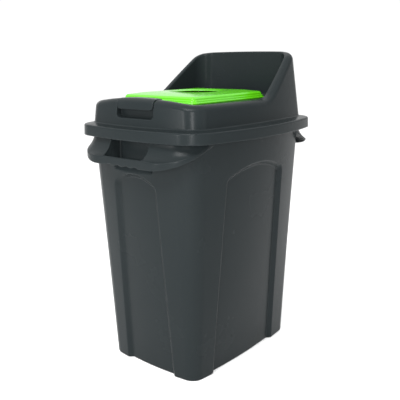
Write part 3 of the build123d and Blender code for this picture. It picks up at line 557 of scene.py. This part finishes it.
def principled(name, roughness, metallic=0.0, specular=0.5):
    """A material with one Principled shader: the material, its node tree and the shader."""
    material = bpy.data.materials.new(name)
    material.use_nodes = True
    tree = material.node_tree
    shader = tree.nodes["Principled BSDF"]
    shader.inputs["Roughness"].default_value = roughness
    shader.inputs["Metallic"].default_value = metallic
    shader.inputs["Specular IOR Level"].default_value = specular
    return material, tree, shader


def add_noise(tree, scale, detail):
    """Noise over the piece's own coordinates."""
    place = tree.nodes.new("ShaderNodeTexCoord")
    noise = tree.nodes.new("ShaderNodeTexNoise")
    noise.inputs["Scale"].default_value = scale
    noise.inputs["Detail"].default_value = detail
    tree.links.new(place.outputs["Object"], noise.inputs["Vector"])
    return noise.outputs["Fac"]


def add_range(tree, value, low, high, start=0.0, end=1.0):
    """The value carried from the span start to end onto the span low to high."""
    span = tree.nodes.new("ShaderNodeMapRange")
    span.inputs["From Min"].default_value = start
    span.inputs["From Max"].default_value = end
    span.inputs["To Min"].default_value = low
    span.inputs["To Max"].default_value = high
    tree.links.new(value, span.inputs["Value"])
    return span.outputs["Result"]


def add_mix(tree, share, second):
    """A mix of an open first colour and the second one, by share."""
    mix = tree.nodes.new("ShaderNodeMix")
    mix.data_type = "RGBA"
    mix.inputs["B"].default_value = (*second, 1)
    tree.links.new(share, mix.inputs["Factor"])
    return mix


def add_bump(tree, shader, height, depth):
    """Relief of the given depth in metres."""
    bump = tree.nodes.new("ShaderNodeBump")
    bump.inputs["Strength"].default_value = 1.0
    bump.inputs["Distance"].default_value = depth
    tree.links.new(height, bump.inputs["Height"])
    tree.links.new(bump.outputs["Normal"], shader.inputs["Normal"])


def moulded_plastic(name, colour, lighter, roughness, grain, grain_depth, specular):
    """Satin moulded plastic: fine grain, faint flow marks, and paler worn edges."""
    material, tree, shader = principled(name, roughness, specular=specular)
    flow = add_noise(tree, FLOW_SCALE, FLOW_DETAIL)
    tint = add_mix(tree, flow, lighter)
    tint.inputs["A"].default_value = (*colour, 1)
    edges = tree.nodes.new("ShaderNodeNewGeometry")
    wear = add_range(tree, edges.outputs["Pointiness"], 0.0, WEAR_MOST, WEAR_START, WEAR_END)
    worn = add_mix(tree, wear, [WEAR_GAIN * c + WEAR_LIFT for c in lighter])
    tree.links.new(tint.outputs["Result"], worn.inputs["A"])
    tree.links.new(worn.outputs["Result"], shader.inputs["Base Color"])
    gloss = add_range(tree, flow, roughness - GLOSS_BELOW, roughness + GLOSS_ABOVE)
    tree.links.new(gloss, shader.inputs["Roughness"])
    add_bump(tree, shader, add_noise(tree, grain, GRAIN_DETAIL), grain_depth)
    return material


def metal(name, colour, roughness, scratch_scale):
    """Plated or drawn steel with fine brushed scratches."""
    material, tree, shader = principled(name, roughness, metallic=1.0)
    scratches = add_noise(tree, scratch_scale, SCRATCH_DETAIL)
    tint = add_mix(tree, scratches, colour)
    tint.inputs["A"].default_value = (*[METAL_SHADE * c for c in colour], 1)
    tree.links.new(tint.outputs["Result"], shader.inputs["Base Color"])
    gloss = add_range(tree, scratches, roughness - METAL_GLOSS_BELOW, roughness + METAL_GLOSS_ABOVE)
    tree.links.new(gloss, shader.inputs["Roughness"])
    add_bump(tree, shader, scratches, SCRATCH_DEPTH)
    return material


MATERIALS = {
    "dark_plastic": moulded_plastic("dark_plastic", (0.0115, 0.0150, 0.0160), (0.0135, 0.0170, 0.0180),
                                    0.25, 1400.0, 0.00005, 0.07),
    "green_plastic": moulded_plastic("green_plastic", (0.070, 0.40, 0.003), (0.095, 0.45, 0.006),
                                     0.16, 900.0, 0.00002, 0.5),
    "black_plastic": moulded_plastic("black_plastic", (0.006, 0.006, 0.006), (0.010, 0.010, 0.010),
                                     0.5, 1200.0, 0.00006, 0.4),
    "zinc_steel": metal("zinc_steel", (0.62, 0.64, 0.66), 0.32, 400.0),
    "spring_steel": metal("spring_steel", (0.45, 0.46, 0.48), 0.28, 600.0),
    "black_rubber": moulded_plastic("black_rubber", (0.008, 0.008, 0.008), (0.012, 0.012, 0.012),
                                    0.75, 1600.0, 0.00010, 0.3),
}


def finish_piece(piece, body, slot, *nodes):
    """The piece rides on its body, takes its finish from the slot and stands for the CAD nodes."""
    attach(piece, body)
    piece.data.materials.clear()
    piece.data.materials.append(MATERIALS[slot])
    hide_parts(*nodes)


for row in frame["record"]["subparts"]:
    node = frame["nodes"][row["node"]]
    for material_slot in node.material_slots:
        material_slot.material = MATERIALS[row["material_slot"]]


# ---- pieces ----
MOULDINGS = (    # name, field, low and high corners of the right half, step, triangles, body, node
    ("tub_moulding", tub, (0, -256, -6), (206, 256, 542), 2.0, 195000, "tub", "bin_body"),
    ("lid_moulding", lid, (0, -242, 516), (206, 254, 706), 2.0, 195000, "lid", "lid_shell"),
    ("flap_moulding", latch_flap, (0, -216, 529), (56, -170, 610), 0.8, 60000, "latch", "latch_flap"),
)
HOLE_EDGES = (1.5, 1.0, 0.5, 0.5)
EDGE_STEPS, PLATE_RAYS = 6, 720


def add_moulded_pieces():
    """The tub, the lid and the flap."""
    for name, field, low, high, step, triangles, body, node in MOULDINGS:
        piece = moulding(name, field, low, high, step, triangles)
        finish_piece(piece, body, "dark_plastic", node)


def add_aperture_plate():
    """The green plate: three low steps, a low crown and a dished round hole with a thin lip."""
    side = []
    for step in range(PLATE_STEPS):
        inset, z = step * PLATE_STEP_INSET, DECK_Z + step * PLATE_STEP_HEIGHT
        side += [(inset, z), (inset + STEP_LEAN, z + PLATE_STEP_HEIGHT - STEP_LEDGE_SLOPE)]
    top_inset = PLATE_STEPS * PLATE_STEP_INSET + TOP_STEP_LEAN
    crown_inset = top_inset + PLATE_CROWN_INSET
    side.append((top_inset, PLATE_TOP_Z))
    edges = [STEP_EDGE] * (len(side) - 1) + [TOP_EDGE]
    outside = with_arcs(side + [(crown_inset, PLATE_CROWN_Z)], edges, EDGE_STEPS)
    inside = [(crown_inset, PLATE_CROWN_Z - PLATE_WALL)]
    inside += [(inset + PLATE_WALL, z - PLATE_WALL) for inset, z in side[::-1] if z > DECK_Z + PLATE_WALL]
    inside.append((PLATE_WALL, DECK_Z))
    dish_z = PLATE_CROWN_Z - DISH_DEPTH
    lip_z = dish_z - HOLE_LIP
    hole = [(DISH_RADIUS + DISH_SHOULDER, PLATE_CROWN_Z), (DISH_RADIUS, PLATE_CROWN_Z), (HOLE_RADIUS, dish_z),
            (HOLE_RADIUS, lip_z), (HOLE_RADIUS + PLATE_WALL, lip_z - LIP_SLOPE),
            (DISH_RADIUS + UNDERSIDE_REACH, PLATE_CROWN_Z - PLATE_WALL - UNDERSIDE_DROP)]
    hole = with_arcs(hole, HOLE_EDGES, EDGE_STEPS)
    angles = np.linspace(0, 2 * math.pi, PLATE_RAYS, endpoint=False)
    directions = np.stack((np.cos(angles), np.sin(angles)), 1)
    centre = np.array((0.0, PLATE_Y + HOLE_Y))

    def square_loop(inset, z):
        """The plate's outline drawn in by inset, at height z."""
        reach = along_rays(lambda x, y: outline(x, y - PLATE_Y, PLATE_SIZE) + inset, centre, directions)
        return np.column_stack((centre + reach[:, None] * directions, np.full(len(angles), z)))

    def round_loop(radius, z):
        """A circle round the hole's centre, at height z."""
        return np.column_stack((centre + radius * directions, np.full(len(angles), z)))

    loops = [square_loop(*place) for place in outside] + [round_loop(*place) for place in hole]
    loops += [square_loop(*place) for place in inside]
    plate = ring_mesh("plate_moulding", loops)
    finish_piece(plate, "lid", "green_plastic", "aperture_plate")


def add_latch_spring():
    """The torsion spring: close turns round the pin between two legs."""
    pivot_y, pivot_z = FLAP_PIVOT
    wire, radius, turns = 0.5, 2.9, 9
    start, end = 16.5, 27.5
    start_leg, end_leg, points_per_turn = 7.5, 8.5, 28
    angles = np.linspace(0, 2 * math.pi * turns + math.pi, points_per_turn * turns)
    along = np.linspace(start, end, len(angles))
    coil = [(x, pivot_y + radius * math.cos(angle), pivot_z + radius * math.sin(angle))
            for x, angle in zip(along, angles)]
    path = [(start, pivot_y + radius, pivot_z - start_leg)] + coil
    path.append((end, pivot_y - radius, pivot_z - end_leg))
    spring = tube("spring_wire", path, wire)
    finish_piece(spring, "lid", "spring_steel", "latch_spring")


add_moulded_pieces()
add_aperture_plate()
add_latch_spring()


# ---- stage, light and camera ----
FLOOR_HALF_SIZE, FLOOR_ROUGHNESS, FLOOR_COLOUR = 30.0, 0.9, (0.95, 0.95, 0.95, 1)
BACKDROP_AZIMUTH, BACKDROP_BRIGHT, BACKDROP_DIM = 130.0, 1.03, 0.50
BACKDROP_FADE_START, BACKDROP_FADE_END = -0.2, 0.85
CEILING_STRENGTH, CEILING_SPREAD = 1.5, 100.0
SOFTBOX_REACH, LIT_HEIGHT = 3.0, 0.5
SOFTBOXES = (    # name, azimuth and elevation in degrees, width and height in metres, watts
    ("front_strip", -101.0, 10.0, 0.3, 1.2, 36),
    ("corner_strip", -54.0, 10.0, 0.3, 1.2, 56),
    ("high_front", -72.0, 52.0, 1.8, 0.9, 90),
    ("right", 5.0, 15.0, 1.0, 1.4, 6),
)
CAMERA_AZIMUTH, CAMERA_ELEVATION, CAMERA_ROLL = 40.01, 13.47, -0.64
CAMERA_DISTANCE, CAMERA_SIDE, CAMERA_HEIGHT = 1.4375, -0.00201, 0.35535
CAMERA_LENS = 54.72


def add_stage():
    """A pale floor that runs out past every view."""
    half = FLOOR_HALF_SIZE
    corners = [(-half, -half, 0), (half, -half, 0), (half, half, 0), (-half, half, 0)]
    floor = new_object("floor", np.array(corners) / MM, [(0, 1, 2, 3)])
    material, _, shader = principled("floor", FLOOR_ROUGHNESS)
    shader.inputs["Base Color"].default_value = FLOOR_COLOUR
    floor.data.materials.append(material)


def add_area_light(name, place, target, width, height, power):
    """A rectangular light at place that faces target."""
    light = bpy.data.lights.new(name, "AREA")
    light.shape = "RECTANGLE"
    light.size, light.size_y = width, height
    light.energy = power
    lamp = bpy.data.objects.new(name, light)
    bpy.context.scene.collection.objects.link(lamp)
    lamp.location = place
    lamp.rotation_euler = (Vector(target) - Vector(place)).to_track_quat("-Z", "Y").to_euler()


def add_world(backdrop_azimuth, bright, dim):
    """A white backdrop on one side that falls off to a dimmer room on the other."""
    world = bpy.data.worlds.new("studio")
    world.use_nodes = True
    nodes, links = world.node_tree.nodes, world.node_tree.links
    place = nodes.new("ShaderNodeTexCoord")
    toward = nodes.new("ShaderNodeVectorMath")
    toward.operation = "DOT_PRODUCT"
    angle = math.radians(backdrop_azimuth)
    toward.inputs[1].default_value = (math.cos(angle), math.sin(angle), 0.0)
    links.new(place.outputs["Generated"], toward.inputs[0])
    strength = add_range(world.node_tree, toward.outputs["Value"], dim, bright,
                         BACKDROP_FADE_START, BACKDROP_FADE_END)
    background = nodes["Background"]
    background.inputs["Color"].default_value = (1, 1, 1, 1)
    links.new(strength, background.inputs["Strength"])
    bpy.context.scene.world = world


def add_sun(strength, spread):
    """Very soft light from straight above."""
    light = bpy.data.lights.new("ceiling", "SUN")
    light.energy = strength
    light.angle = math.radians(spread)
    bpy.context.scene.collection.objects.link(bpy.data.objects.new("ceiling", light))


def add_softbox(name, azimuth, elevation, width, height, power):
    """A rectangular light three metres from the bin, in the given direction."""
    around, up = math.radians(azimuth), math.radians(elevation)
    direction = Vector((math.cos(up) * math.cos(around), math.cos(up) * math.sin(around), math.sin(up)))
    middle = Vector((0, 0, LIT_HEIGHT))
    add_area_light(name, middle + SOFTBOX_REACH * direction, middle, width, height, power)


def add_light():
    """The backdrop, the soft ceiling and the softboxes round the bin."""
    add_world(BACKDROP_AZIMUTH, BACKDROP_BRIGHT, BACKDROP_DIM)
    add_sun(CEILING_STRENGTH, CEILING_SPREAD)
    for softbox in SOFTBOXES:
        add_softbox(*softbox)


def add_camera():
    """The camera at the viewing angle, slightly rolled."""
    azimuth, elevation, roll = map(math.radians, (CAMERA_AZIMUTH, CAMERA_ELEVATION, CAMERA_ROLL))
    back = Vector((math.sin(azimuth) * math.cos(elevation), -math.cos(azimuth) * math.cos(elevation),
                   math.sin(elevation)))
    right = Vector((math.cos(azimuth), math.sin(azimuth), 0))
    up = back.cross(right)
    target = right * CAMERA_SIDE + Vector((0, 0, CAMERA_HEIGHT))
    rolled_right = right * math.cos(roll) + up * math.sin(roll)
    rolled_up = -right * math.sin(roll) + up * math.cos(roll)
    axes = Matrix((rolled_right, rolled_up, back)).transposed().to_4x4()
    camera = bpy.data.objects.new("camera", bpy.data.cameras.new("camera"))
    camera.data.lens = CAMERA_LENS
    camera.matrix_world = Matrix.Translation(target + back * CAMERA_DISTANCE) @ axes
    bpy.context.scene.collection.objects.link(camera)
    bpy.context.scene.camera = camera


add_stage()
add_light()
add_camera()
bpy.context.scene.view_settings.view_transform = "Standard"
